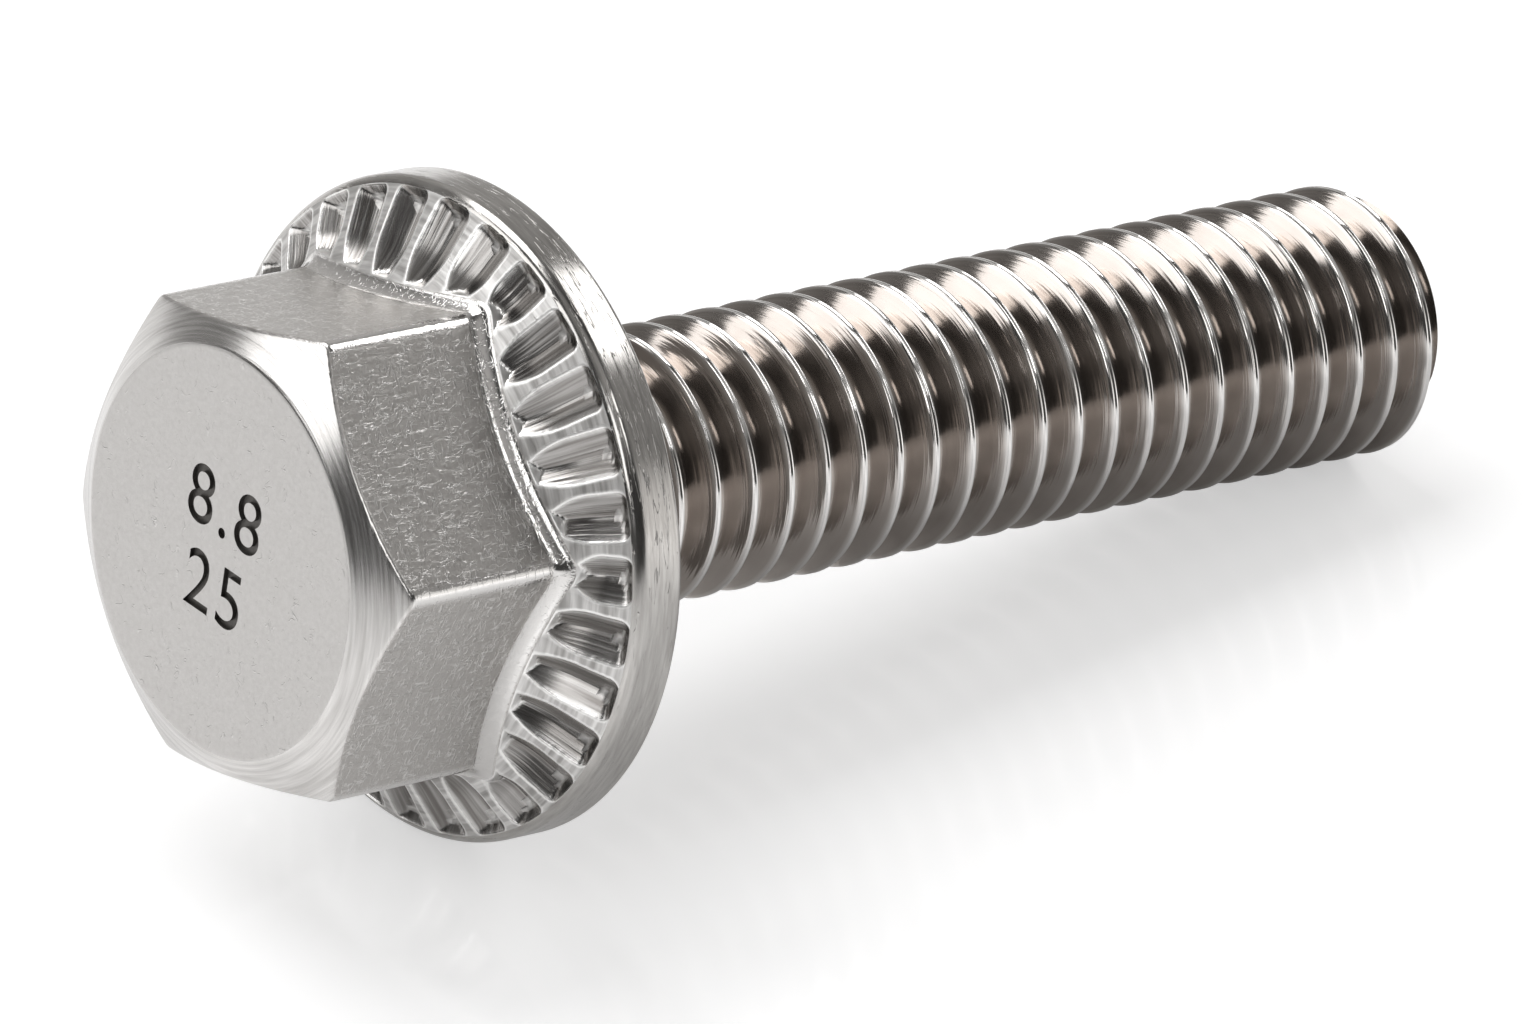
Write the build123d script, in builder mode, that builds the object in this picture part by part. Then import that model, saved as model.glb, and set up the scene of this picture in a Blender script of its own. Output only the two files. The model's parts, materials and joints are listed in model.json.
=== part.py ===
from build123d import *
import math
import os

# Hexagon bolt with a serrated conical flange, threaded right up to the head.
# It is forged and rolled from one blank, so it is one solid. The fine thread isn't cut here:
# the shank is the plain cylinder over its crests.
# It is modelled on its own axis, head up, with the bearing face at Z = 0, and then laid down
# as it comes to rest: on the rim of its flange and on the end of its thread.

# Shank, millimetres
thread_d = 6.0              # over the crests
shank_length = 25.0         # bearing face to tip
tip_chamfer = 0.5           # on the radius, at 45 degrees
underhead_r = 0.25          # fillet between shank and bearing face

# Flange
flange_d = 14.2
rim_thickness = 1.1         # bearing face to the start of the cone
cone_angle = 30.0           # slope of the cone above the bearing face
rim_top_r = 0.3             # rounding between rim and cone
rim_chamfer = 0.12          # at 45 degrees, between rim and bearing face

# Hexagon
hex_af = 9.8                # across flats
head_height = 6.6           # bearing face to top of head
hex_edge_r = 0.3            # rounding of the six long edges
hex_base_r = 0.5            # fillet from the flats to the cone
top_flat_d = 8.8            # round flat on top of the head
top_chamfer_angle = 30.0    # slope of the cone that trims the hexagon's top corners

# Serrations: V notches pressed into the cone, each narrower towards the hexagon
notch_count = 31
notch_width = 1.0
notch_depth = 0.34          # square to the cone
notch_bow = 0.45            # share of its length over which a notch narrows
notch_point = 0.45          # share of its width and depth left at the inner end
notch_end = 0.1             # share of its length that the sloping facet at each end takes
notch_corner = 0.06         # share of its length cut off each corner of the outer end
notch_margin = 0.17         # left between the notches and the outside of the rim
notch_land = 0.03           # left between the hexagon's fillet and the inner ends
notch_phase = 8.4           # from a corner of the hexagon to the next notch, degrees

# How it lies
roll_at_rest = 17.0         # from straight down to the nearest corner of the hexagon, degrees

thread_r = thread_d / 2
flange_r = flange_d / 2
hex_apothem = hex_af / 2
top_flat_r = top_flat_d / 2
cone_slope = math.tan(math.radians(cone_angle))
cone_top_r = hex_apothem - hex_base_r
cone_top = rim_thickness + (flange_r - cone_top_r) * cone_slope


# Shank, flange and cone, turned from one profile
with BuildPart() as blank:
    with BuildSketch(Plane.XZ) as half_section:
        with BuildLine():
            Polyline(
                (0, -shank_length),
                (thread_r - tip_chamfer, -shank_length),
                (thread_r, tip_chamfer - shank_length),
                (thread_r, 0),
                (flange_r, 0),
                (flange_r, rim_thickness),
                (cone_top_r, cone_top),
                (0, cone_top),
                close=True,
            )
        make_face()
        underhead_corner = half_section.vertices().sort_by_distance((thread_r, 0))[0]
        fillet(underhead_corner, underhead_r)
        lower_rim_corner = half_section.vertices().sort_by_distance((flange_r, 0))[0]
        chamfer(lower_rim_corner, rim_chamfer)
        upper_rim_corner = half_section.vertices().sort_by_distance((flange_r, rim_thickness))[0]
        fillet(upper_rim_corner, rim_top_r)
    revolve(axis=Axis.Z)


# Hexagon with rounded long edges, its top corners trimmed by a cone
with BuildPart() as hexagon:
    with BuildSketch(Plane.XY.offset(rim_thickness)) as hex_outline:
        RegularPolygon(hex_apothem, 6, major_radius=False)
        fillet(hex_outline.vertices(), hex_edge_r)
    extrude(amount=head_height - rim_thickness)
    with BuildSketch(Plane.XZ):
        with BuildLine():
            reach = flange_r - top_flat_r
            trim_drop = reach * math.tan(math.radians(top_chamfer_angle))
            Polyline(
                (0, 0),
                (flange_r, 0),
                (flange_r, head_height - trim_drop),
                (top_flat_r, head_height),
                (0, head_height),
                close=True,
            )
        make_face()
    revolve(axis=Axis.Z, mode=Mode.INTERSECT)


def notch(length):
    """One V notch: outer end at the origin, inner end at X = length, cone's surface at Z = 0."""
    half_width = notch_width / 2
    overshoot = 1.15            # the flanks go on above the cone, so that the cut is clean
    end = notch_end * length
    stations = ((-end, 1), (length * (1 - notch_bow), 1), (length + end, notch_point))
    with BuildPart() as tool:
        for x, size in stations:
            lip = (overshoot - 1) * notch_depth * size
            with BuildSketch(Plane.YZ.offset(x)):
                with BuildLine():
                    Polyline(
                        (0, -notch_depth * size),
                        (overshoot * half_width * size, lip),
                        (-overshoot * half_width * size, lip),
                        close=True,
                    )
                make_face()
        loft(ruled=True)
        outer_facet = Plane(origin=(0, 0, 0), z_dir=(notch_depth, 0, end))
        split(bisect_by=outer_facet, keep=Keep.TOP)
        inner_facet = Plane(origin=(length, 0, 0), z_dir=(-notch_depth, 0, end))
        split(bisect_by=inner_facet, keep=Keep.TOP)
        corners = tool.faces().sort_by(Axis.X)[0].edges().filter_by(
            lambda edge: edge.center().Z < 0
        )
        chamfer(corners, notch_corner * length)
    return tool.part


# The ring of notches. Their inner ends follow the foot of the hexagon's fillet.
notch_r = flange_r - notch_margin
notch_z = rim_thickness + notch_margin * cone_slope
fillet_reach = hex_base_r * math.tan(math.radians(45 - cone_angle / 2))
fillet_foot = fillet_reach * math.cos(math.radians(cone_angle))
notch_azimuths = [notch_phase + number * 360 / notch_count for number in range(notch_count)]
notch_parts = []
for azimuth in notch_azimuths:
    off_flat = math.radians(azimuth % 60 - 30)
    inner_r = (hex_apothem + fillet_foot + notch_land) / math.cos(off_flat)
    notch_parts.append(notch((notch_r - inner_r) / math.cos(math.radians(cone_angle))))

with BuildPart() as notches:
    for azimuth, part in zip(notch_azimuths, notch_parts):
        with Locations(Rotation(0, 0, azimuth) * Location((notch_r, 0, notch_z), (0, cone_angle, 180))):
            add(part)


# The whole bolt, head up: the fillet runs round where the hexagon stands on the cone
with BuildPart() as upright:
    add(blank.part)
    add(hexagon.part)
    base_edges = upright.edges(Select.LAST).filter_by(
        lambda edge: rim_thickness < edge.center().Z < cone_top
    )
    fillet(base_edges, hex_base_r)
    add(notches.part, mode=Mode.SUBTRACT)


# Laid on its side: the lower edge of the rim and the end of the thread touch one plane.
# Head towards -X, tip towards +X, standing on Z = 0 with the middle of its length at X = 0.
thread_end = shank_length - tip_chamfer
lean = math.atan2(flange_r - thread_r, thread_end + rim_chamfer)
axis_height = thread_r * math.cos(lean) + thread_end * math.sin(lean)
head_reach = head_height * math.cos(lean) + top_flat_r * math.sin(lean)
tip_reach = shank_length * math.cos(lean) + (thread_r - tip_chamfer) * math.sin(lean)
middle = (tip_reach - head_reach) / 2
with BuildPart() as flange_bolt:
    with Locations(Location((-middle, 0, axis_height), (0, math.degrees(lean) - 90, 0))):
        add(upright.part, rotation=(0, 0, -roll_at_rest))

flange_bolt.part.label = "flange_bolt"
os.makedirs("parts", exist_ok=True)
export_step(flange_bolt.part, "parts/flange_bolt.step")
print(f"lean {math.degrees(lean):.3f} degrees, bearing face centre {-middle:.4f} 0 {axis_height:.4f}")
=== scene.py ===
"""A hexagon flange bolt lying on a pale floor: its looks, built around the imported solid.

The bolt is drawn in its own frame first, in millimetres: head up, bearing face at Z = 0. The mounts
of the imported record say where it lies, and every finished piece is carried there in its mesh.
"""

import json
import math

import bmesh
import bpy
import numpy as np
from mathutils import Matrix, Vector


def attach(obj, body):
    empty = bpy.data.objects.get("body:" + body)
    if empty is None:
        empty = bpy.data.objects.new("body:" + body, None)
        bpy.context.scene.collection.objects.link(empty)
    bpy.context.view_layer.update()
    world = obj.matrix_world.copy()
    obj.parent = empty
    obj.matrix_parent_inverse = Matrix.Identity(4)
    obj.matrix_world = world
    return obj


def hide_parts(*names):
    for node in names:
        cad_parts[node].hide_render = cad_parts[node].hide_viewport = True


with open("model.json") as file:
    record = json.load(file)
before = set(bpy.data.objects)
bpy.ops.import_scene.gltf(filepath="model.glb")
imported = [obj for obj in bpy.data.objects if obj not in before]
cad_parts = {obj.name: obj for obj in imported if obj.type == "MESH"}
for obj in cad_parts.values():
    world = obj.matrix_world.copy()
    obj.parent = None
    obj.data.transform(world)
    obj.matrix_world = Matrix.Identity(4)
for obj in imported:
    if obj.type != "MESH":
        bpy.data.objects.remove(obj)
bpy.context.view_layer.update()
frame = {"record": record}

MM = 0.001
FULL_TURN = 2 * math.pi

# Flange and hexagon, in millimetres
FLANGE_R = 7.1
RIM_THICKNESS = 1.1          # bearing face to the start of the cone
RIM_TOP_R = 0.3
CONE_ANGLE = math.radians(30)
CONE_SLOPE = math.tan(CONE_ANGLE)
HEX_APOTHEM = 4.9
HEX_EDGE_R = 0.3             # rounding of the six long edges
HEX_BASE_R = 0.5             # fillet from the flats to the cone
FILLET_FOOT = HEX_BASE_R / 2             # how far outside the flats that fillet ends
HEX_CORNER_AZIMUTH = math.radians(-17)
TOP_FLAT_R = 4.4
CHAMFER_ANGLE = math.radians(30)         # of the cone that trims the hexagon's top corners
CHAMFER_SLOPE = math.tan(CHAMFER_ANGLE)

# Notches, slightly wider than in the solid, because their worn edges are rounded here
NOTCH_COUNT = 31
NOTCH_AZIMUTH = math.radians(-8.6)       # of the first one's middle
NOTCH_WIDTH = 1.06
NOTCH_DEPTH = 0.35
NOTCH_OUTER_R = 6.93
NOTCH_TAPER = 0.03           # half width lost for each millimetre inwards
NOTCH_BOW = 0.5              # share of its length over which a notch narrows
NOTCH_NARROWING = 0.5        # share of its width that it loses by its inner end
NOTCH_CORNER_R = 0.2
NOTCH_END = 0.22             # length of the sloping facet at each end
NOTCH_LAND = 0.03            # from the foot of the hexagon's fillet to the notches
LANE = FULL_TURN / NOTCH_COUNT

# Thread
THREAD_PITCH = 1.0
THREAD_DEPTH = 0.613
CREST_FLAT = 0.15
CREST_AT_ZERO = -0.096       # height of the crest line at azimuth 0
FLANK_SLOPE = math.sqrt(3)   # flanks 60 degrees apart
TIP_CHAMFER = 0.5
UNDERHEAD_R = 0.25

NUMERALS = "8.8\n25"
NUMERAL_SIZE = 1.9
NUMERAL_DEPTH = 0.1

# Roundings that the solid leaves to this script
TOP_EDGE_R = 0.3             # between the round top flat and its cone
HEX_TOP_EDGE_R = 0.13        # between that cone and the flats
RIM_BOTTOM_R = 0.12          # between rim and bearing face


def mount(name):
    return next(m for m in frame["record"]["mounts"] if m["name"] == name)


# Where the bolt lies: its axis, its bearing face and its lengths come from the mounts
tip_axis = Vector(mount("thread")["axis"]).normalized()
head_top = Vector(mount("head_top")["pos_m"])
HEAD_HEIGHT = (Vector(mount("bearing_face")["pos_m"]) - head_top).dot(tip_axis) / MM
bearing_centre = head_top + tip_axis * HEAD_HEIGHT * MM
thread_middle = (Vector(mount("thread")["pos_m"]) - bearing_centre).dot(tip_axis) / MM
THREAD_R = mount("thread")["dims"]["r_mm"]
SHANK_LENGTH = thread_middle + mount("thread")["dims"]["length_mm"] / 2 + TIP_CHAMFER

bolt_z = -tip_axis
bolt_y = Vector((0, 1, 0))
bolt_x = bolt_y.cross(bolt_z)
bolt_axes = Matrix((bolt_x, bolt_y, bolt_z)).transposed()
lie_down = Matrix.Translation(bearing_centre) @ bolt_axes.to_4x4() @ Matrix.Scale(MM, 4)


# Node expressions

class Wire:
    """One output socket. Python's operators on it add Math nodes to its tree."""

    def __init__(self, tree, socket):
        self.tree = tree
        self.socket = socket

    def math(self, operation, *others):
        return self.tree.add("ShaderNodeMath", {"operation": operation}, self, *others)

    def __add__(self, other):
        return self.math("ADD", other)

    __radd__ = __add__

    def __sub__(self, other):
        return self.math("SUBTRACT", other)

    def __rsub__(self, other):
        return self.tree.add("ShaderNodeMath", {"operation": "SUBTRACT"}, other, self)

    def __mul__(self, other):
        return self.math("MULTIPLY", other)

    __rmul__ = __mul__

    def __truediv__(self, other):
        return self.math("DIVIDE", other)

    def __rtruediv__(self, other):
        return self.tree.add("ShaderNodeMath", {"operation": "DIVIDE"}, other, self)

    def __pow__(self, other):
        return self.math("POWER", other)

    def __neg__(self):
        return self * -1

    def __abs__(self):
        return self.math("ABSOLUTE")

    def __gt__(self, other):
        return self.math("GREATER_THAN", other)

    def __lt__(self, other):
        return self.math("LESS_THAN", other)

    def clamp(self):
        return self.math("MAXIMUM", 0).math("MINIMUM", 1)


class Tree:
    """A node tree that nodes are added to with one call each."""

    def __init__(self, tree):
        self.tree = tree

    def add(self, kind, settings, *values, output=0, **named):
        """Adds a node and gives one of its outputs. Plain values fill its sockets in order."""
        node = self.tree.nodes.new(kind)
        for key, value in settings.items():
            setattr(node, key, value)
        for socket, value in zip(node.inputs, values):
            self.plug(socket, value)
        for key, value in named.items():
            self.plug(node.inputs[key], value)
        return Wire(self, node.outputs[output])

    def plug(self, socket, value):
        """Links a wire to a socket or sets the socket to a value. None leaves it as it is."""
        if isinstance(value, Wire):
            self.tree.links.new(value.socket, socket)
        elif value is not None:
            socket.default_value = value


def parts_of(add, vector):
    split = add("ShaderNodeSeparateXYZ", {}, vector)
    return [Wire(split.tree, socket) for socket in split.socket.node.outputs]


def length_of(x, y):
    return (x * x + y * y).math("SQRT")


# Meshes

def mesh_from_rows(name, rows):
    """A closed surface through rows of points, from the top down, each once round the axis."""
    count = len(rows[0])
    points = np.concatenate(rows)
    faces = []
    for i in range(len(rows) - 1):
        low = i * count
        high = low + count
        for j in range(count):
            k = (j + 1) % count
            faces.append((low + j, high + j, high + k, low + k))
    last = (len(rows) - 1) * count
    faces.append(tuple(range(count)))
    faces.append(tuple(reversed(range(last, last + count))))
    mesh = bpy.data.meshes.new(name)
    mesh.from_pydata(points.tolist(), [], faces)
    mesh.update()
    return mesh


def set_numbers(mesh, name, numbers, domain="POINT"):
    attribute = mesh.attributes.new(name, "FLOAT", domain)
    attribute.data.foreach_set("value", np.asarray(numbers, dtype=np.float32))


def show(name, data):
    piece = bpy.data.objects.new(name, data)
    bpy.context.scene.collection.objects.link(piece)
    return piece


def evaluated_mesh(piece):
    depsgraph = bpy.context.evaluated_depsgraph_get()
    return bpy.data.meshes.new_from_object(piece.evaluated_get(depsgraph))


def settle(piece):
    """Applies the piece's modifiers by turning what they make into its plain mesh."""
    mesh = evaluated_mesh(piece)
    piece.modifiers.clear()
    piece.data = mesh
    return piece


def smooth(piece, angle):
    """Shades smoothly across every edge that turns by less than an angle."""
    mesh = piece.data
    mesh.shade_smooth()
    work = bmesh.new()
    work.from_mesh(mesh)
    for edge in work.edges:
        edge.smooth = len(edge.link_faces) == 2 and edge.calc_face_angle(0) < angle
    work.to_mesh(mesh)
    work.free()


# Head: hexagon, cone and rim as one grid of rows round the axis

# Its rows, from the top down: angles round the edges and shares of the straight stretches
TOP_EDGE_ANGLES = np.radians([-1, 0, 6, 12, 18, 24, 30])
CHAMFER_SHARES = (0.15, 0.35, 0.55, 0.75, 0.9)
HEX_TOP_EDGE_ANGLES = np.radians([60, 48, 36, 24, 12, 0])
FLAT_SHARES = (0.02, 0.2, 0.4, 0.6, 0.8, 0.98)
FILLET_ANGLES = np.radians(np.arange(0, 61, 7.5))
CONE_SHARES = np.arange(1, 10) / 10
RIM_TOP_ANGLES = np.radians(np.linspace(30, 90, 9))
RIM_WALL_SHARES = (0.06, 0.5, 0.94)
RIM_BOTTOM_ANGLES = np.radians(np.linspace(0, 90, 6))
BEARING_FACE_RADII = (6.8, 5.2, THREAD_R + UNDERHEAD_R + 0.2, THREAD_R)

# Rows at the notches' two ends: distances from the fillet's foot and from the outer ends
INNER_END = (0.012, NOTCH_LAND, 0.05, 0.08, 0.12, 0.17, 0.23)
OUTER_END = (0.3, 0.23, 0.17, 0.12, 0.08, 0.05, 0.025, 0.008, 0)

# Its columns: shares of the half width of a notch and of the land beside it, with three columns
# along each worn edge, one in the valley and one in the middle of the land
IN_NOTCH = np.array([0.045, 0.28, 0.52, 0.76])
ON_LAND = np.array([0.3, 0.65])
WORN = 0.035                 # half the width of a notch's worn edge
COLUMNS_PER_NOTCH = 2 * (len(IN_NOTCH) + 3 + len(ON_LAND)) + 2
COLUMNS = COLUMNS_PER_NOTCH * NOTCH_COUNT

SIXTH = math.radians(60)
CORNER_CENTRE_R = (HEX_APOTHEM - HEX_EDGE_R) / math.cos(SIXTH / 2)
CORNER_ARC = math.atan2(HEX_EDGE_R / 2, CORNER_CENTRE_R + HEX_EDGE_R * math.cos(SIXTH / 2))


def from_nearest_corner(azimuth):
    return (azimuth - HEX_CORNER_AZIMUTH + SIXTH / 2) % SIXTH - SIXTH / 2


def hexagon_radius(azimuth, outward=0.0):
    """Radius of the hexagon's rounded outline, or of a line a distance outside it."""
    apothem = HEX_APOTHEM + outward
    corner_r = HEX_EDGE_R + outward
    arc_end = math.atan2(corner_r / 2, CORNER_CENTRE_R + corner_r * math.cos(SIXTH / 2))
    off_corner = from_nearest_corner(azimuth)
    across = CORNER_CENTRE_R * np.sin(off_corner)
    on_arc = np.abs(off_corner) < arc_end
    reach = np.sqrt(np.where(on_arc, corner_r ** 2 - across ** 2, 1))
    arc = CORNER_CENTRE_R * np.cos(off_corner) + reach
    return np.where(on_arc, arc, apothem / np.cos(np.abs(off_corner) - SIXTH / 2))


def hexagon_azimuths():
    """Columns all round, about twice as close at the hexagon's six rounded edges."""
    extra = 1.2
    spread = 2.5             # degrees
    samples = 20001
    first = NOTCH_AZIMUTH - LANE / 2
    fine = np.linspace(0, FULL_TURN, samples)
    off_corner = np.degrees(from_nearest_corner(fine + first))
    closeness = 1 + extra * np.exp(-(off_corner / spread) ** 2)
    share = np.concatenate([[0], np.cumsum((closeness[1:] + closeness[:-1]) / 2)])
    return first + np.interp(np.arange(COLUMNS) / COLUMNS, share / share[-1], fine)


def notch_half_width(radius, foot):
    """Half the width of a notch at a radius: bowed inwards, its outer corners rounded."""
    inner = foot + NOTCH_LAND
    bow = 1 - np.clip((radius - inner) / ((NOTCH_OUTER_R - inner) * NOTCH_BOW), 0, 1)
    into_corner = np.clip(1 - (NOTCH_OUTER_R - radius) / NOTCH_CORNER_R, 0, 1)
    half_width = NOTCH_WIDTH / 2 - (NOTCH_OUTER_R - radius) * NOTCH_TAPER
    half_width = half_width * (1 - NOTCH_NARROWING * bow ** 2)
    return half_width - NOTCH_CORNER_R * (1 - np.sqrt(1 - into_corner ** 2))


def lane_azimuths(radius):
    """Columns along the notches' valleys, flanks and worn edges, at the given radii."""
    centre = NOTCH_AZIMUTH + np.repeat(np.arange(NOTCH_COUNT), COLUMNS_PER_NOTCH) * LANE
    foot = hexagon_radius(centre, FILLET_FOOT)
    edge = np.arcsin(notch_half_width(radius, foot) / radius)
    worn_highlight = WORN / radius
    inside = [edge * share for share in IN_NOTCH]
    outside = [edge + worn_highlight + (LANE / 2 - edge - worn_highlight) * share for share in ON_LAND]
    side = inside + [edge - worn_highlight, edge, edge + worn_highlight] + outside
    offsets = [-LANE / 2 + 0 * edge] + [-line for line in reversed(side)] + [0 * edge] + side
    column = np.arange(COLUMNS)
    return centre + np.array(offsets)[column % COLUMNS_PER_NOTCH, column]


def cone_height(radius):
    return RIM_THICKNESS + (FLANGE_R - radius) * CONE_SLOPE


def chamfer_height(radius):
    return HEAD_HEIGHT - (radius - TOP_FLAT_R) * CHAMFER_SLOPE


def ring(radius, azimuth, height):
    x = radius * np.cos(azimuth)
    y = radius * np.sin(azimuth)
    return np.stack([x, y, height + 0 * azimuth], axis=1)


def top_rows(azimuth):
    """Edge of the round top flat, the cone that trims the hexagon and its edge to the flats."""
    rows = []
    arc_start = TOP_FLAT_R - TOP_EDGE_R * math.tan(CHAMFER_ANGLE / 2)
    for angle in TOP_EDGE_ANGLES:
        radius = arc_start + TOP_EDGE_R * math.sin(angle)
        height = HEAD_HEIGHT - TOP_EDGE_R * (1 - math.cos(max(angle, 0)))
        rows.append(ring(radius, azimuth, height))
    inner = arc_start + TOP_EDGE_R * math.sin(CHAMFER_ANGLE)
    outer = hexagon_radius(azimuth, -HEX_TOP_EDGE_R / 2)
    for share in CHAMFER_SHARES:
        radius = inner + (outer - inner) * share
        rows.append(ring(radius, azimuth, chamfer_height(radius)))
    for angle in HEX_TOP_EDGE_ANGLES:
        inset = HEX_TOP_EDGE_R * (1 - math.cos(angle))
        radius = hexagon_radius(azimuth, -inset)
        drop = HEX_TOP_EDGE_R * (math.sin(angle) - CHAMFER_SLOPE) - inset * CHAMFER_SLOPE
        rows.append(ring(radius, azimuth, chamfer_height(radius) + drop))
    return rows


def flat_rows(azimuth):
    """The six flats, then the fillet at their foot, its columns turning into the notches' lanes."""
    radius = hexagon_radius(azimuth)
    high = chamfer_height(radius) - HEX_TOP_EDGE_R * CHAMFER_SLOPE
    low = cone_height(radius) + HEX_BASE_R * CONE_SLOPE
    rows = [ring(radius, azimuth, high + (low - high) * share) for share in FLAT_SHARES]
    lane = lane_azimuths(hexagon_radius(azimuth, FILLET_FOOT))
    for angle in FILLET_ANGLES:
        outward = HEX_BASE_R * (1 - math.cos(angle))
        around = azimuth + (lane - azimuth) * angle / FILLET_ANGLES[-1]
        radius = hexagon_radius(around, outward)
        lift = HEX_BASE_R * (CONE_SLOPE - math.sin(angle)) + outward * CONE_SLOPE
        rows.append(ring(radius, around, cone_height(radius) + lift))
    return rows


def cone_row(azimuth, share, shift):
    """One row a share of the way from the fillet's foot to the notches' outer ends, and shifted."""
    around = azimuth
    for _ in range(3):       # radius and azimuth depend on each other
        foot = hexagon_radius(around, FILLET_FOOT)
        radius = foot + (NOTCH_OUTER_R - foot) * share + shift
        around = lane_azimuths(radius)
    return ring(radius, around, cone_height(radius))


def cone_rows(azimuth):
    """From the foot of that fillet to the rim, closest at the notches' two ends."""
    places = [(0, distance) for distance in INNER_END]
    for share in CONE_SHARES:
        places.append((share, INNER_END[-1] * (1 - share) - OUTER_END[0] * share))
    places += [(1, -distance) for distance in OUTER_END]
    return [cone_row(azimuth, share, shift) for share, shift in places]


def rim_rows():
    """Rounded outer edge of the flange and the bearing face under it."""
    azimuth = lane_azimuths(np.full(COLUMNS, NOTCH_OUTER_R))
    rows = []
    centre_height = RIM_THICKNESS - RIM_TOP_R * CONE_SLOPE
    for angle in RIM_TOP_ANGLES:
        radius = FLANGE_R - RIM_TOP_R * (1 - math.sin(angle))
        rows.append(ring(radius, azimuth, centre_height + RIM_TOP_R * math.cos(angle)))
    for share in RIM_WALL_SHARES:
        rows.append(ring(FLANGE_R, azimuth, centre_height + (RIM_BOTTOM_R - centre_height) * share))
    for angle in RIM_BOTTOM_ANGLES:
        radius = FLANGE_R - RIM_BOTTOM_R * (1 - math.cos(angle))
        rows.append(ring(radius, azimuth, RIM_BOTTOM_R * (1 - math.sin(angle))))
    for radius in BEARING_FACE_RADII:
        rows.append(ring(radius, azimuth, 0))
    return rows


def mark_zones(mesh, parts):
    """Numbers each face by its finish. The finish changes midway round each edge."""
    top, flats, cone, rim = [len(part) for part in parts]
    cone_end = top + flats + cone
    rim_edge = len(RIM_TOP_ANGLES) + len(RIM_WALL_SHARES) + len(RIM_BOTTOM_ANGLES) // 2
    starts = {
        "chamfer": len(TOP_EDGE_ANGLES) // 2,
        "flats": top - len(HEX_TOP_EDGE_ANGLES) // 2,
        "cone": top + flats - 1,
        "rim": cone_end - 1,
        "bearing face": cone_end + rim_edge,
    }
    zone_of_row = np.zeros(cone_end + rim - 1)
    for start in starts.values():
        zone_of_row[start:] += 1
    caps = [0, len(starts)]
    set_numbers(mesh, "zone", np.append(np.repeat(zone_of_row, COLUMNS), caps), "FACE")


def mark_edges(mesh, points, fillet):
    """Leaves for the finishes how polished each point is, whose paleness also paints a highlight on the
    long edges and the fillet, and for the notches their outline.
    """
    radius = np.hypot(points[:, 0], points[:, 1])
    azimuth = np.arctan2(points[:, 1], points[:, 0])
    notch_middle = NOTCH_AZIMUTH + np.round((azimuth - NOTCH_AZIMUTH) / LANE) * LANE
    half_width = notch_half_width(radius, hexagon_radius(notch_middle, FILLET_FOOT))
    set_numbers(mesh, "half_width", half_width)
    set_numbers(mesh, "foot_radius", hexagon_radius(azimuth, FILLET_FOOT))
    edge_reach = 1.6         # times the long edges' own rounding
    fillet_polish_and_highlight = 0.85
    # Polish on the long edges and the fillet, which the flats' finish also paints pale as a highlight
    polished = np.clip(edge_reach - np.abs(from_nearest_corner(azimuth)) / CORNER_ARC, 0, 1)
    polished[fillet] = np.maximum(polished[fillet], fillet_polish_and_highlight)
    set_numbers(mesh, "polished", polished)


def head_blank():
    """The head before its serrations are pressed in."""
    azimuth = hexagon_azimuths()
    parts = [top_rows(azimuth), flat_rows(azimuth), cone_rows(azimuth), rim_rows()]
    rows = [row for part in parts for row in part]
    mesh = mesh_from_rows("bolt_head", rows)
    mark_zones(mesh, parts)
    fillet_start = len(parts[0]) + len(FLAT_SHARES) + 1
    fillet_end = len(parts[0]) + len(parts[1]) - 1
    mark_edges(mesh, np.concatenate(rows), slice(fillet_start * COLUMNS, fillet_end * COLUMNS))
    return show("bolt_head", mesh)


# Geometry trees

def new_geometry_tree(name, sizes):
    """A Geometry Nodes tree with one geometry and a named number for each size."""
    tree = bpy.data.node_groups.new(name, "GeometryNodeTree")
    tree.interface.new_socket("Geometry", in_out="INPUT", socket_type="NodeSocketGeometry")
    for key, value in sizes.items():
        socket = tree.interface.new_socket(key, in_out="INPUT", socket_type="NodeSocketFloat")
        socket.default_value = value
    tree.interface.new_socket("Geometry", in_out="OUTPUT", socket_type="NodeSocketGeometry")
    start = tree.nodes.new("NodeGroupInput")
    nodes = Tree(tree)
    inputs = {socket.name: Wire(nodes, socket) for socket in start.outputs if socket.name}
    return nodes, inputs


def stored_number(add, name):
    return add("GeometryNodeInputNamedAttribute", {"data_type": "FLOAT"}, name)


def store_number(add, geometry, name, value):
    settings = {"data_type": "FLOAT", "domain": "POINT"}
    return add("GeometryNodeStoreNamedAttribute", settings, geometry, None, name, value)


def finish_geometry_tree(nodes, geometry, finishes):
    """Ends a tree by giving each zone its finish. Without zones a piece is all zone 0."""
    geometry = nodes.add("GeometryNodeRealizeInstances", {}, geometry)
    zone = stored_number(nodes.add, "zone")
    for number, finish in enumerate(finishes):
        here = abs(zone - number) < 0.5
        geometry = nodes.add("GeometryNodeSetMaterial", {}, geometry, here, finish)
    end = nodes.tree.nodes.new("NodeGroupOutput")
    nodes.plug(end.inputs[0], geometry)


def run_geometry_tree(piece, nodes, sizes):
    """Runs a tree on a piece with the given sizes, and keeps only the mesh that it makes."""
    modifier = piece.modifiers.new(nodes.tree.name, "NODES")
    modifier.node_group = nodes.tree
    for item in nodes.tree.interface.items_tree:
        if item.in_out == "INPUT" and item.name in sizes:
            modifier[item.identifier] = float(sizes[item.name])
    return settle(piece)


# Serrations

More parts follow.
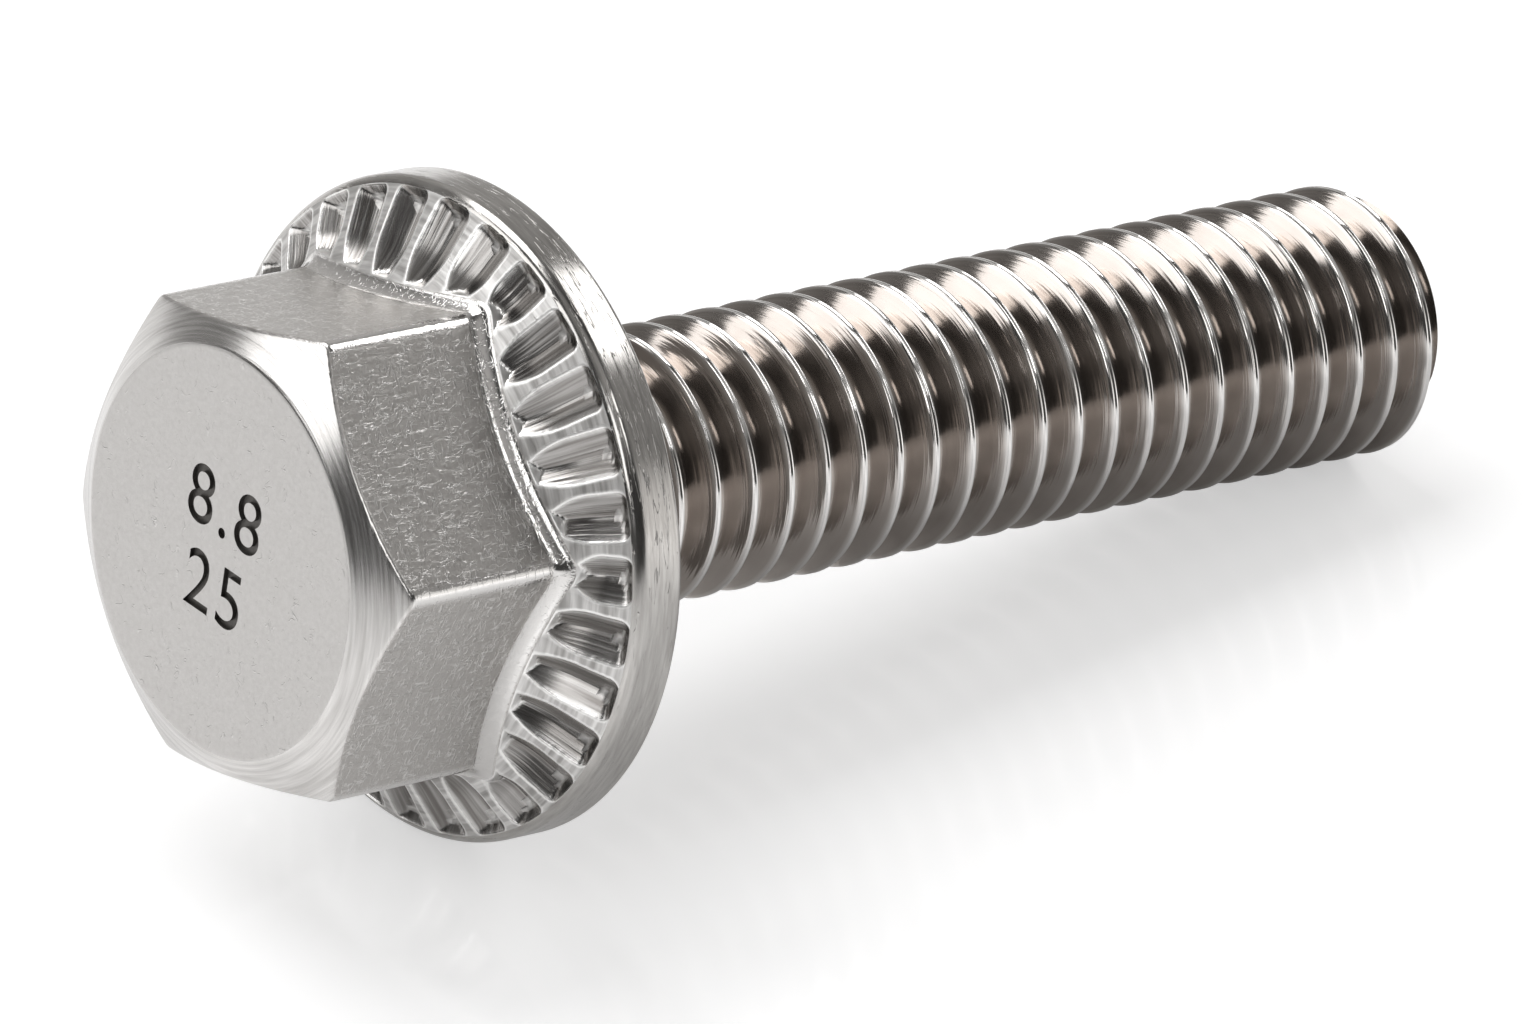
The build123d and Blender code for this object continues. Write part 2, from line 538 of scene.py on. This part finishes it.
def into_notch(add, size, x, y, radius):
    """How far a point lies inside its notch, from the sides, the outer end and the inner end."""
    lane = FULL_TURN / size["Count"]
    azimuth = y.math("ARCTAN2", x) - size["First azimuth"]
    across = azimuth.math("WRAP", lane / 2, lane / -2).math("SINE") * radius
    rounded = (across * across + size["Valley radius"] ** 2).math("SQRT")
    from_side = stored_number(add, "half_width") - rounded
    from_outer = size["Outer radius"] - radius
    from_inner = radius - stored_number(add, "foot_radius") - size["Land"]
    return from_side, from_outer, from_inner


def press_serrations(head):
    """Presses a ring of V notches into the cone, with a sloping facet at both ends of each."""
    sizes = {
        "Count": NOTCH_COUNT,
        "First azimuth": NOTCH_AZIMUTH,
        "Flank slope": 2 * NOTCH_DEPTH / NOTCH_WIDTH,
        "Outer radius": NOTCH_OUTER_R,
        "Land": NOTCH_LAND,
        "End slope": NOTCH_DEPTH / NOTCH_END,
        "Facet blend": 0.02,
        "Edge radius": 0.03,
        "Valley radius": 0.015,
        "Worn width": 0.06,
        "Pressed width": 0.05,
        "Cone foot": RIM_THICKNESS,
        "Cone angle": CONE_ANGLE,
    }
    nodes, size = new_geometry_tree("press_serrations", sizes)
    add = nodes.add
    x, y, z = parts_of(add, add("GeometryNodeInputPosition", {}))
    radius = length_of(x, y)
    on_cone = z > size["Cone foot"]
    from_side, from_outer, from_inner = into_notch(add, size, x, y, radius)
    facets = from_side * size["Flank slope"]
    for from_end in (from_outer, from_inner):
        facets = facets.math("SMOOTH_MIN", from_end * size["End slope"], size["Facet blend"])
    depth = facets.math("SMOOTH_MAX", 0, size["Edge radius"]) * on_cone
    inward = depth * size["Cone angle"].math("SINE") / radius
    down = depth * size["Cone angle"].math("COSINE")
    push = add("ShaderNodeCombineXYZ", {}, -(x * inward), -(y * inward), -down)
    moved = add("GeometryNodeSetPosition", {}, size["Geometry"], None, None, push)
    inside = from_side.math("MINIMUM", from_outer).math("MINIMUM", from_inner)
    # Painted highlight: a pale band along each notch's worn edge
    worn_highlight = (1 - abs(inside) / size["Worn width"]).clamp() * on_cone
    moved = store_number(add, moved, "worn_edge", worn_highlight)
    pressed = (inside / size["Pressed width"]).clamp() * on_cone
    moved = store_number(add, moved, "pressed", pressed)
    finishes = [top_steel(), turned_steel(), forged_steel(), cone_steel(), rim_steel(), bearing_steel()]
    finish_geometry_tree(nodes, moved, finishes)
    return run_geometry_tree(head, nodes, sizes)


# Thread: a flat strip of turns, wound round the axis

TURN_COLUMNS = 144
ROWS_FROM_CREST = (0, 0.02, 0.04, 0.055, 0.072, 0.09, 0.12, 0.25, 0.35, 0.42)    # shares of a turn
SPARE_TURNS = 2              # past each end of the shank
JOIN_AZIMUTH = math.radians(120)         # where the strip's two long edges meet
CREST_AT_JOIN = CREST_AT_ZERO + THREAD_PITCH * JOIN_AZIMUTH / FULL_TURN


def thread_strip():
    """A flat strip, one unit wide and one unit long for each turn, its rows closest at the crest."""
    from_crest = np.array(ROWS_FROM_CREST)
    places = np.sort(np.concatenate([from_crest, 1 - from_crest[1:], [0.5]]))
    first = -math.ceil(SHANK_LENGTH / THREAD_PITCH) - SPARE_TURNS
    turns = np.arange(first, SPARE_TURNS)
    along = (turns[:, None] + places[None, :]).ravel()
    across = np.arange(TURN_COLUMNS + 1) / TURN_COLUMNS
    grid_u, grid_v = np.meshgrid(along, across, indexing="ij")
    points = np.stack([grid_v.ravel(), grid_u.ravel(), 0 * grid_u.ravel()], axis=1)
    width = TURN_COLUMNS + 1
    faces = []
    for i in range(len(along) - 1):
        for j in range(TURN_COLUMNS):
            low = i * width + j
            faces.append((low, low + 1, low + width + 1, low + width))
    mesh = bpy.data.meshes.new("bolt_thread")
    mesh.from_pydata(points.tolist(), [], faces)
    uv = mesh.uv_layers.new(name="run")
    corner_vertex = np.empty(len(mesh.loops), dtype=np.int32)
    mesh.loops.foreach_get("vertex_index", corner_vertex)
    uv.data.foreach_set("uv", points[corner_vertex][:, :2].astype(np.float32).ravel())
    return show("bolt_thread", mesh)


def groove_depth(size, along):
    """Depth below the crest radius: a rounded root, and a fine crease in the middle of the crest."""
    from_crest = abs((along + 0.5).math("FRACT") - 0.5) * size["Pitch"]
    flank = (from_crest - size["Crest flat"] / 2) * FLANK_SLOPE
    cut = flank.math("SMOOTH_MIN", size["Depth"], size["Root blend"])
    cut = cut.math("SMOOTH_MAX", 0, size["Crest blend"])
    crease = (1 - (from_crest / size["Crease width"]) ** 2).math("MAXIMUM", 0)
    return cut + crease * size["Crease depth"]


def underhead_radius(size, height):
    """Radius of the fillet between shank and bearing face, or 0 below it."""
    into_fillet = (1 + height / size["Underhead radius"]).clamp()
    fillet = size["Underhead radius"] * (1 - (1 - into_fillet * into_fillet).math("SQRT"))
    return (size["Crest radius"] + fillet) * (into_fillet > 0)


def roll_thread(strip):
    """Winds the strip into a right-hand thread that runs out under the head, closed at both ends."""
    sizes = {
        "Crest radius": THREAD_R,
        "Depth": THREAD_DEPTH,
        "Pitch": THREAD_PITCH,
        "Crest flat": CREST_FLAT,
        "Crest blend": 0.035,
        "Root blend": 0.22,
        "Crease width": 0.04,
        "Crease depth": 0.025,
        "Join azimuth": JOIN_AZIMUTH,
        "Crest at join": CREST_AT_JOIN,
        "Length": SHANK_LENGTH,
        "Runout start": 0.35,
        "Runout length": 0.5,
        "Underhead radius": UNDERHEAD_R,
        "Overrun": 0.5,
        "Closing point": 0.55,
        "Weld distance": 0.0005,
    }
    nodes, size = new_geometry_tree("roll_thread", sizes)
    add = nodes.add
    across, along, _ = parts_of(add, add("GeometryNodeInputPosition", {}))
    azimuth = across * FULL_TURN + size["Join azimuth"]
    height = (along + across) * size["Pitch"] + size["Crest at join"]
    fade = ((-height - size["Runout start"]) / size["Runout length"]).clamp()
    radius = size["Crest radius"] - groove_depth(size, along) * fade
    radius = radius.math("MAXIMUM", underhead_radius(size, height))
    above = height > size["Overrun"]
    below = height < -size["Length"] - size["Overrun"]
    inside = 1 - above - below
    radius = radius * inside
    ends = above * size["Closing point"] - below * (size["Length"] + size["Closing point"])
    x = radius * azimuth.math("COSINE")
    y = radius * azimuth.math("SINE")
    wound = add("ShaderNodeCombineXYZ", {}, x, y, height * inside + ends)
    moved = add("GeometryNodeSetPosition", {}, size["Geometry"], None, wound)
    welded = add("GeometryNodeMergeByDistance", {}, moved, None, size["Weld distance"])
    finish_geometry_tree(nodes, welded, [rolled_steel()])
    return run_geometry_tree(strip, nodes, sizes)


def turned_blank():
    """The solid that the thread is trimmed to: a plain bar with a chamfered tip."""
    allowance = 0.5          # on the thread's radius
    bar_r = THREAD_R + allowance
    top = 0.3                # above the bearing face, inside the head
    columns = 256
    step = FULL_TURN / columns
    azimuth = np.arange(columns) * step
    profile = [
        (bar_r, top),
        (bar_r, allowance + TIP_CHAMFER - SHANK_LENGTH),
        (THREAD_R - TIP_CHAMFER, -SHANK_LENGTH),
    ]
    rows = [ring(radius, azimuth, height) for radius, height in profile]
    return show("turned_blank", mesh_from_rows("turned_blank", rows))


def boolean(piece, other, operation):
    """Cuts or trims a piece with another, which is used up. Each face keeps its material."""
    modifier = piece.modifiers.new("boolean", "BOOLEAN")
    modifier.operation = operation
    modifier.object = other
    modifier.solver = "EXACT"
    modifier.material_mode = "TRANSFER"
    settle(piece)
    bpy.data.objects.remove(other)
    return piece


# Mark on the head: plain numerals, stamped square into the top

def numeral_cutter():
    text = bpy.data.curves.new("numerals", "FONT")
    text.body = NUMERALS
    text.size = NUMERAL_SIZE
    text.space_line = 0.98
    text.space_character = 1.12
    text.align_x = "CENTER"
    text.align_y = "CENTER"
    text.extrude = NUMERAL_DEPTH
    written = show("numerals", text)
    mesh = evaluated_mesh(written)
    bpy.data.objects.remove(written)
    work = bmesh.new()
    work.from_mesh(mesh)
    bmesh.ops.remove_doubles(work, verts=work.verts, dist=0.00001)
    on_top = Matrix(((0, 1, 0, 0), (-1, 0, 0, 0), (0, 0, 1, HEAD_HEIGHT), (0, 0, 0, 1)))
    work.transform(on_top)
    bmesh.ops.recalc_face_normals(work, faces=work.faces)
    work.to_mesh(mesh)
    work.free()
    mesh.materials.clear()
    mesh.materials.append(stamped_steel())
    return show("numeral_cutter", mesh)


# Finishes

def bolt_place(add):
    """The shaded point in the bolt's own frame, in millimetres."""
    point = add("ShaderNodeTexCoord", {}, output="Object")
    back = bolt_axes.transposed()
    shift = -(back @ bearing_centre) / MM
    settings = {"vector_type": "POINT"}
    return add("ShaderNodeMapping", settings, point, shift, back.to_euler("XYZ"), (1 / MM,) * 3)


def stored_mark(add, name):
    return add("ShaderNodeAttribute", {"attribute_name": name}, output="Fac")


def noise(add, vector, scale, detail=2.0, distortion=0.0):
    return add("ShaderNodeTexNoise", {}, Vector=vector, Scale=scale, Detail=detail, Distortion=distortion)


def streaks(add, x, y, z, detail):
    """Noise that is drawn out one way, by coordinates that are scaled each on its own."""
    return noise(add, add("ShaderNodeCombineXYZ", {}, x, y, z), 1.0, detail)


def hairlines(add, vector, scale, width, cover):
    """Short curved scratches: thin contour lines of one noise where another is high."""
    line = (1 - abs(noise(add, vector, scale, 1.0, 0.6) - 0.5) / width).clamp()
    where = ((noise(add, vector, scale * 0.9) - (1 - cover)) * 12).clamp()
    return line * where


def contrast(value, gain):
    return ((value - 0.5) * gain + 0.5).clamp()


def mix_colour(add, factor, dark, light):
    """A colour between two others, each of them three numbers or a wire."""
    mixed = add("ShaderNodeMix", {"data_type": "RGBA"}, factor, output=2)
    for socket, colour in zip(mixed.socket.node.inputs[6:8], (dark, light)):
        mixed.tree.plug(socket, colour if isinstance(colour, Wire) else (*colour, 1))
    return mixed


def new_steel(name):
    material = bpy.data.materials.new(name)
    material.use_nodes = True
    nodes = Tree(material.node_tree)
    shader = material.node_tree.nodes["Principled BSDF"]
    shader.inputs["Metallic"].default_value = 1.0
    return material, nodes, shader


def finish_steel(nodes, shader, colour, roughness, relief, height):
    """Colour, roughness and a bump in millimetres."""
    nodes.plug(shader.inputs["Base Color"], colour)
    nodes.plug(shader.inputs["Roughness"], roughness)
    bump = nodes.add("ShaderNodeBump", {}, Strength=1.0, Distance=height * MM, Height=relief)
    nodes.plug(shader.inputs["Normal"], bump)


def top_steel():
    """The satin top flat, with a few short scratches."""
    material, nodes, shader = new_steel("head_top_steel")
    add = nodes.add
    place = bolt_place(add)
    fine = noise(add, place, 9, 4)
    scratch = hairlines(add, place, 3.2, 0.02, 0.45)
    pale = contrast(fine, 1.6) * 0.6 + scratch * 0.5
    colour = mix_colour(add, pale, (0.52, 0.505, 0.49), (0.68, 0.665, 0.65))
    finish_steel(nodes, shader, colour, 0.3 + fine * 0.14, fine * 0.6 + scratch * 0.9, 0.008)
    return material


def stamped_steel():
    """The dull floor and walls of the stamped numerals."""
    material, nodes, shader = new_steel("stamped_steel")
    grain = noise(nodes.add, bolt_place(nodes.add), 14, 2)
    colour = mix_colour(nodes.add, grain, (0.1, 0.095, 0.09), (0.2, 0.19, 0.18))
    finish_steel(nodes, shader, colour, 0.5 + grain * 0.1, grain, 0.004)
    return material


def bearing_steel():
    """The face under the flange: duller than the rest, with fine turning rings."""
    material, nodes, shader = new_steel("bearing_steel")
    add = nodes.add
    x, y, _ = parts_of(add, bolt_place(add))
    rings = streaks(add, length_of(x, y) * 10, x * 0.3, y * 0.3, detail=3)
    colour = mix_colour(add, rings, (0.34, 0.32, 0.305), (0.44, 0.42, 0.4))
    finish_steel(nodes, shader, colour, 0.38 + rings * 0.14, rings, 0.006)
    return material


def turned_steel():
    """The cone above the flats, with its concentric tool marks."""
    material, nodes, shader = new_steel("turned_steel")
    add = nodes.add
    x, y, _ = parts_of(add, bolt_place(add))
    radius = length_of(x, y)
    rings = streaks(add, radius * 14, x * 0.5, y * 0.5, detail=3)
    coarse = streaks(add, radius * 5, x * 0.4, y * 0.4, detail=2)
    colour = mix_colour(add, contrast(rings, 2.5), (0.5, 0.485, 0.47), (0.74, 0.725, 0.71))
    finish_steel(nodes, shader, colour, 0.17 + rings * 0.14, rings * 0.7 + coarse * 0.6, 0.011)
    return material


def forged_steel():
    """The flats, with a fine woven relief and short scratches, and their polished edges, painted pale as
    a highlight.
    """
    material, nodes, shader = new_steel("forged_steel")
    add = nodes.add
    place = bolt_place(add)
    x, y, z = parts_of(add, place)
    wave = noise(add, place, 2.2, 2)
    across = add("ShaderNodeCombineXYZ", {}, x * 2.4 + wave, y * 2.4, z * 8)
    along = add("ShaderNodeCombineXYZ", {}, x * 7, y * 7 + wave, z * 2.2)
    weave = noise(add, across, 1.0, 1) + noise(add, along, 1.0, 1)
    lines = hairlines(add, across, 1.2, 0.045, 0.55) + hairlines(add, along, 1.2, 0.045, 0.55)
    grain = noise(add, place, 16, 3)
    polished = stored_mark(add, "polished")
    rough = 1 - polished
    # Painted highlight: the polished edges and the fillet are painted pale
    pale = (grain * 0.5 + lines * 0.6) * rough + polished
    colour = mix_colour(add, pale, (0.46, 0.44, 0.42), (0.76, 0.745, 0.73))
    relief = (weave * 0.6 + lines * 0.6 + grain * 0.3) * (0.15 + rough)
    finish_steel(nodes, shader, colour, 0.13 + (0.15 + grain * 0.14) * rough, relief, 0.012)
    return material


def cone_steel():
    """Bright pressed notches between lands that keep their tool marks, pale along worn edges, a paleness
    that paints their highlight.
    """
    material, nodes, shader = new_steel("serrated_steel")
    add = nodes.add
    x, y, _ = parts_of(add, bolt_place(add))
    radius = length_of(x, y)
    rings = streaks(add, radius * 9, x * 0.9, y * 0.9, detail=2)
    bars = streaks(add, radius * 2.6, x * 0.6, y * 0.6, detail=1)
    azimuth = y.math("ARCTAN2", x)
    round_x = azimuth.math("SINE") * 75
    round_y = azimuth.math("COSINE") * 75
    spokes = streaks(add, radius * 0.5, round_x, round_y, detail=2)
    pressed = stored_mark(add, "pressed")
    worn_highlight = stored_mark(add, "worn_edge")
    relief = (rings + bars * 0.8) * (1 - pressed) + spokes * 0.6 * pressed
    lands = 0.26 + contrast(rings, 3.4) * 0.4 + contrast(bars, 4) * 0.24
    marks = lands * (1 - pressed) + contrast(spokes, 3) * 0.3 * pressed
    # The worn edges are painted pale: a painted highlight
    colour = mix_colour(add, (marks + worn_highlight * 0.8).clamp(), (0.2, 0.188, 0.178), (0.9, 0.89, 0.875))
    roughness = 0.46 - pressed * 0.23 - worn_highlight * 0.12
    finish_steel(nodes, shader, colour, roughness, relief, 0.018)
    return material


def rim_steel():
    """The flange's outer edge: smooth, with lines and scratches that run round it."""
    material, nodes, shader = new_steel("rim_steel")
    add = nodes.add
    x, y, z = parts_of(add, bolt_place(add))
    around = add("ShaderNodeCombineXYZ", {}, x * 1.2, y * 1.2, z * 12)
    rings = noise(add, around, 1.0, 3)
    scratch = hairlines(add, around, 0.9, 0.03, 0.5)
    colour = mix_colour(add, contrast(rings, 2), (0.38, 0.365, 0.35), (0.56, 0.545, 0.525))
    finish_steel(nodes, shader, colour, 0.12 + rings * 0.12, rings * 0.4 + scratch * 0.7, 0.008)
    return material


def rolled_steel():
    """The rolled thread: nearly a mirror, with fine lines along each turn and a pale worn crest that
    paints the crest's highlight line.
    """
    material, nodes, shader = new_steel("rolled_steel")
    add = nodes.add
    across, turn_count, _ = parts_of(add, add("ShaderNodeUVMap", {"uv_map": "run"}))
    whole = turn_count.math("FLOOR")
    profile = turn_count - whole
    length = (whole + across) * (FULL_TURN * THREAD_R)
    # The third coordinate keeps the three noises apart
    lines = streaks(add, profile * 26, length * 0.12, 0, detail=2)
    broad = streaks(add, profile * 8, length * 0.1, 4, detail=2)
    stain = streaks(add, profile * 3, length * 0.9, 9, detail=3)
    from_crest = profile.math("PINGPONG", 0.5)
    near_crest = (1 - from_crest / 0.3).clamp()
    worn_highlight = (1.5 - from_crest / 0.08).clamp()
    relief = lines * (0.25 + near_crest * 1.3) + broad * 0.4
    pale = stain * 0.5 + broad * 0.3 + lines * near_crest * 0.3
    warm = mix_colour(add, pale.clamp(), (0.35, 0.305, 0.275), (0.6, 0.565, 0.535))
    # Pale worn crest, which is also a painted highlight line
    colour = mix_colour(add, worn_highlight, warm, (0.9, 0.885, 0.87))
    roughness = 0.07 + (lines * 0.08 + stain * 0.05) * (1 - worn_highlight)
    finish_steel(nodes, shader, colour, roughness, relief, 0.009)
    return material


# Pieces

HEAD_SMOOTH_ANGLE = math.radians(25)     # edges that turn by more than this stay sharp
THREAD_SMOOTH_ANGLE = math.radians(32)


def make_head():
    head = boolean(press_serrations(head_blank()), numeral_cutter(), "DIFFERENCE")
    smooth(head, HEAD_SMOOTH_ANGLE)
    return head


def make_thread():
    thread = roll_thread(thread_strip())
    bar = turned_blank()
    bar.data.materials.append(thread.data.materials[0])
    boolean(thread, bar, "INTERSECT")
    smooth(thread, THREAD_SMOOTH_ANGLE)
    return thread


def place_piece(piece):
    piece.data.transform(lie_down)
    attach(piece, "root")
    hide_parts("flange_bolt")


# Studio, in metres

FLOOR_SIZE = 4               # from its middle to its sides
FLOOR_COLOUR = (0.74, 0.74, 0.745, 1)
FLOOR_LIFT = 0.5             # grey that is added to the floor where it is seen

# The metal sees that grey fade in between two distances from a point under the shank, so the
# underside of the thread mirrors a darker floor than the camera sees: a painted shadow of the bolt
UNDER_SHANK_X = 0.007
UNDER_SHANK_R = 0.009
OPEN_FLOOR_R = 0.03

LAMP_DISTANCE = 0.5

# The room's pale walls: azimuth and elevation of the middle, reach in degrees, level
ROOM_LEVEL = 0.05
WALLS = (
    (55, 0, 83, 0.45),
    (-115, 62, 34, 0.4),
    (-48, 0, 20, 1.2),
    (-33, 28, 30, 0.3),
)


def floor_glow(nodes):
    """The grey that the floor adds to its own shade, for the camera and for the metal, which sees a
    painted shadow where it fades near the shank.
    """
    path = nodes.tree.nodes.new("ShaderNodeLightPath")
    camera, glossy, transmission = [
        Wire(nodes, path.outputs[f"Is {kind} Ray"]) for kind in ("Camera", "Glossy", "Transmission")
    ]
    x, y, _ = parts_of(nodes.add, nodes.add("ShaderNodeTexCoord", {}, output="Object"))
    distance = length_of(x - UNDER_SHANK_X, y)
    # Painted shadow: for the metal, the floor's grey fades out near the shank
    outside_painted_shadow = ((distance - UNDER_SHANK_R) / (OPEN_FLOOR_R - UNDER_SHANK_R)).clamp()
    glow = (camera + (glossy + transmission) * outside_painted_shadow) * FLOOR_LIFT
    return nodes.add("ShaderNodeCombineColor", {}, glow, glow, glow)


def make_floor():
    """A white glossy floor that takes the bolt's shadow."""
    work = bmesh.new()
    bmesh.ops.create_grid(work, x_segments=1, y_segments=1, size=FLOOR_SIZE)
    mesh = bpy.data.meshes.new("studio_floor")
    work.to_mesh(mesh)
    work.free()
    floor = show("studio_floor", mesh)
    material = bpy.data.materials.new("white_gloss_floor")
    material.use_nodes = True
    nodes = Tree(material.node_tree)
    shader = material.node_tree.nodes["Principled BSDF"]
    shader.inputs["Base Color"].default_value = FLOOR_COLOUR
    shader.inputs["Roughness"].default_value = 0.1
    nodes.plug(shader.inputs["Emission Color"], floor_glow(nodes))
    shader.inputs["Emission Strength"].default_value = 1
    mesh.materials.append(material)


def direction(azimuth, elevation):
    azimuth = math.radians(azimuth)
    elevation = math.radians(elevation)
    flat = math.cos(elevation)
    return Vector((flat * math.cos(azimuth), flat * math.sin(azimuth), math.sin(elevation)))


def aim(holder, place, towards, axis, roll=0.0):
    """Puts a lamp or a camera at a place, with one of its axes along a direction."""
    turn = towards.to_track_quat(axis, "Y").to_matrix().to_4x4()
    holder.matrix_world = Matrix.Translation(place) @ turn @ Matrix.Rotation(roll, 4, "Z")


def make_softbox(name, azimuth, elevation, width, height, radiance):
    """An area lamp that faces the bolt. A radiance of 1 looks white in a mirror."""
    lamp = bpy.data.lights.new(name, "AREA")
    lamp.shape = "RECTANGLE"
    lamp.size = width
    lamp.size_y = height
    lamp.energy = radiance * math.pi * width * height
    outward = direction(azimuth, elevation)
    aim(show(name, lamp), outward * LAMP_DISTANCE, outward, "Z")


def lobe(add, look, azimuth, elevation, reach):
    """A soft round patch of the world: 1 in its middle, 0 from a reach in degrees on."""
    settings = {"operation": "DOT_PRODUCT"}
    middle = direction(azimuth, elevation)
    towards = add("ShaderNodeVectorMath", settings, look, middle, output="Value")
    edge = math.cos(math.radians(reach))
    return ((towards - edge) / (1 - edge)).clamp()


def make_world():
    """A dark room with a few soft pale walls, which the polished metal shows."""
    world = bpy.data.worlds.new("studio")
    bpy.context.scene.world = world
    world.use_nodes = True
    nodes = Tree(world.node_tree)
    add = nodes.add
    look = add("ShaderNodeTexCoord", {}, output="Generated")
    level = ROOM_LEVEL
    for azimuth, elevation, reach, gain in WALLS:
        level = level + gain * lobe(add, look, azimuth, elevation, reach)
    colour = add("ShaderNodeCombineColor", {}, level, level * 0.985, level * 0.965)
    nodes.plug(world.node_tree.nodes["Background"].inputs["Color"], colour)


def make_camera():
    """The photograph's view: a long lens, 31 degrees down, level to within a degree."""
    camera = bpy.data.cameras.new("camera")
    camera.sensor_width = 36.0
    camera.lens = 360.9
    camera.clip_start = 0.01
    place = Vector((-0.17751, -0.22029, 0.17181))
    look = Vector((0.5376, 0.6705, -0.5113))
    holder = show("camera", camera)
    aim(holder, place, look, "-Z", math.radians(0.78))
    bpy.context.scene.camera = holder


for piece in (make_head(), make_thread()):
    place_piece(piece)
make_floor()
make_softbox("softbox_over", 95, 62, 0.32, 0.28, 4.2)
make_softbox("softbox_back_left", 150, 34, 0.36, 0.22, 2.3)
make_softbox("softbox_right", -3, 43, 0.26, 0.12, 3.2)
make_softbox("strip_front", -80, 46, 0.09, 0.16, 3.0)
make_softbox("card_near_camera", -150, 30, 0.15, 0.22, 2.6)
make_world()
make_camera()
bpy.context.scene.view_settings.view_transform = "Standard"
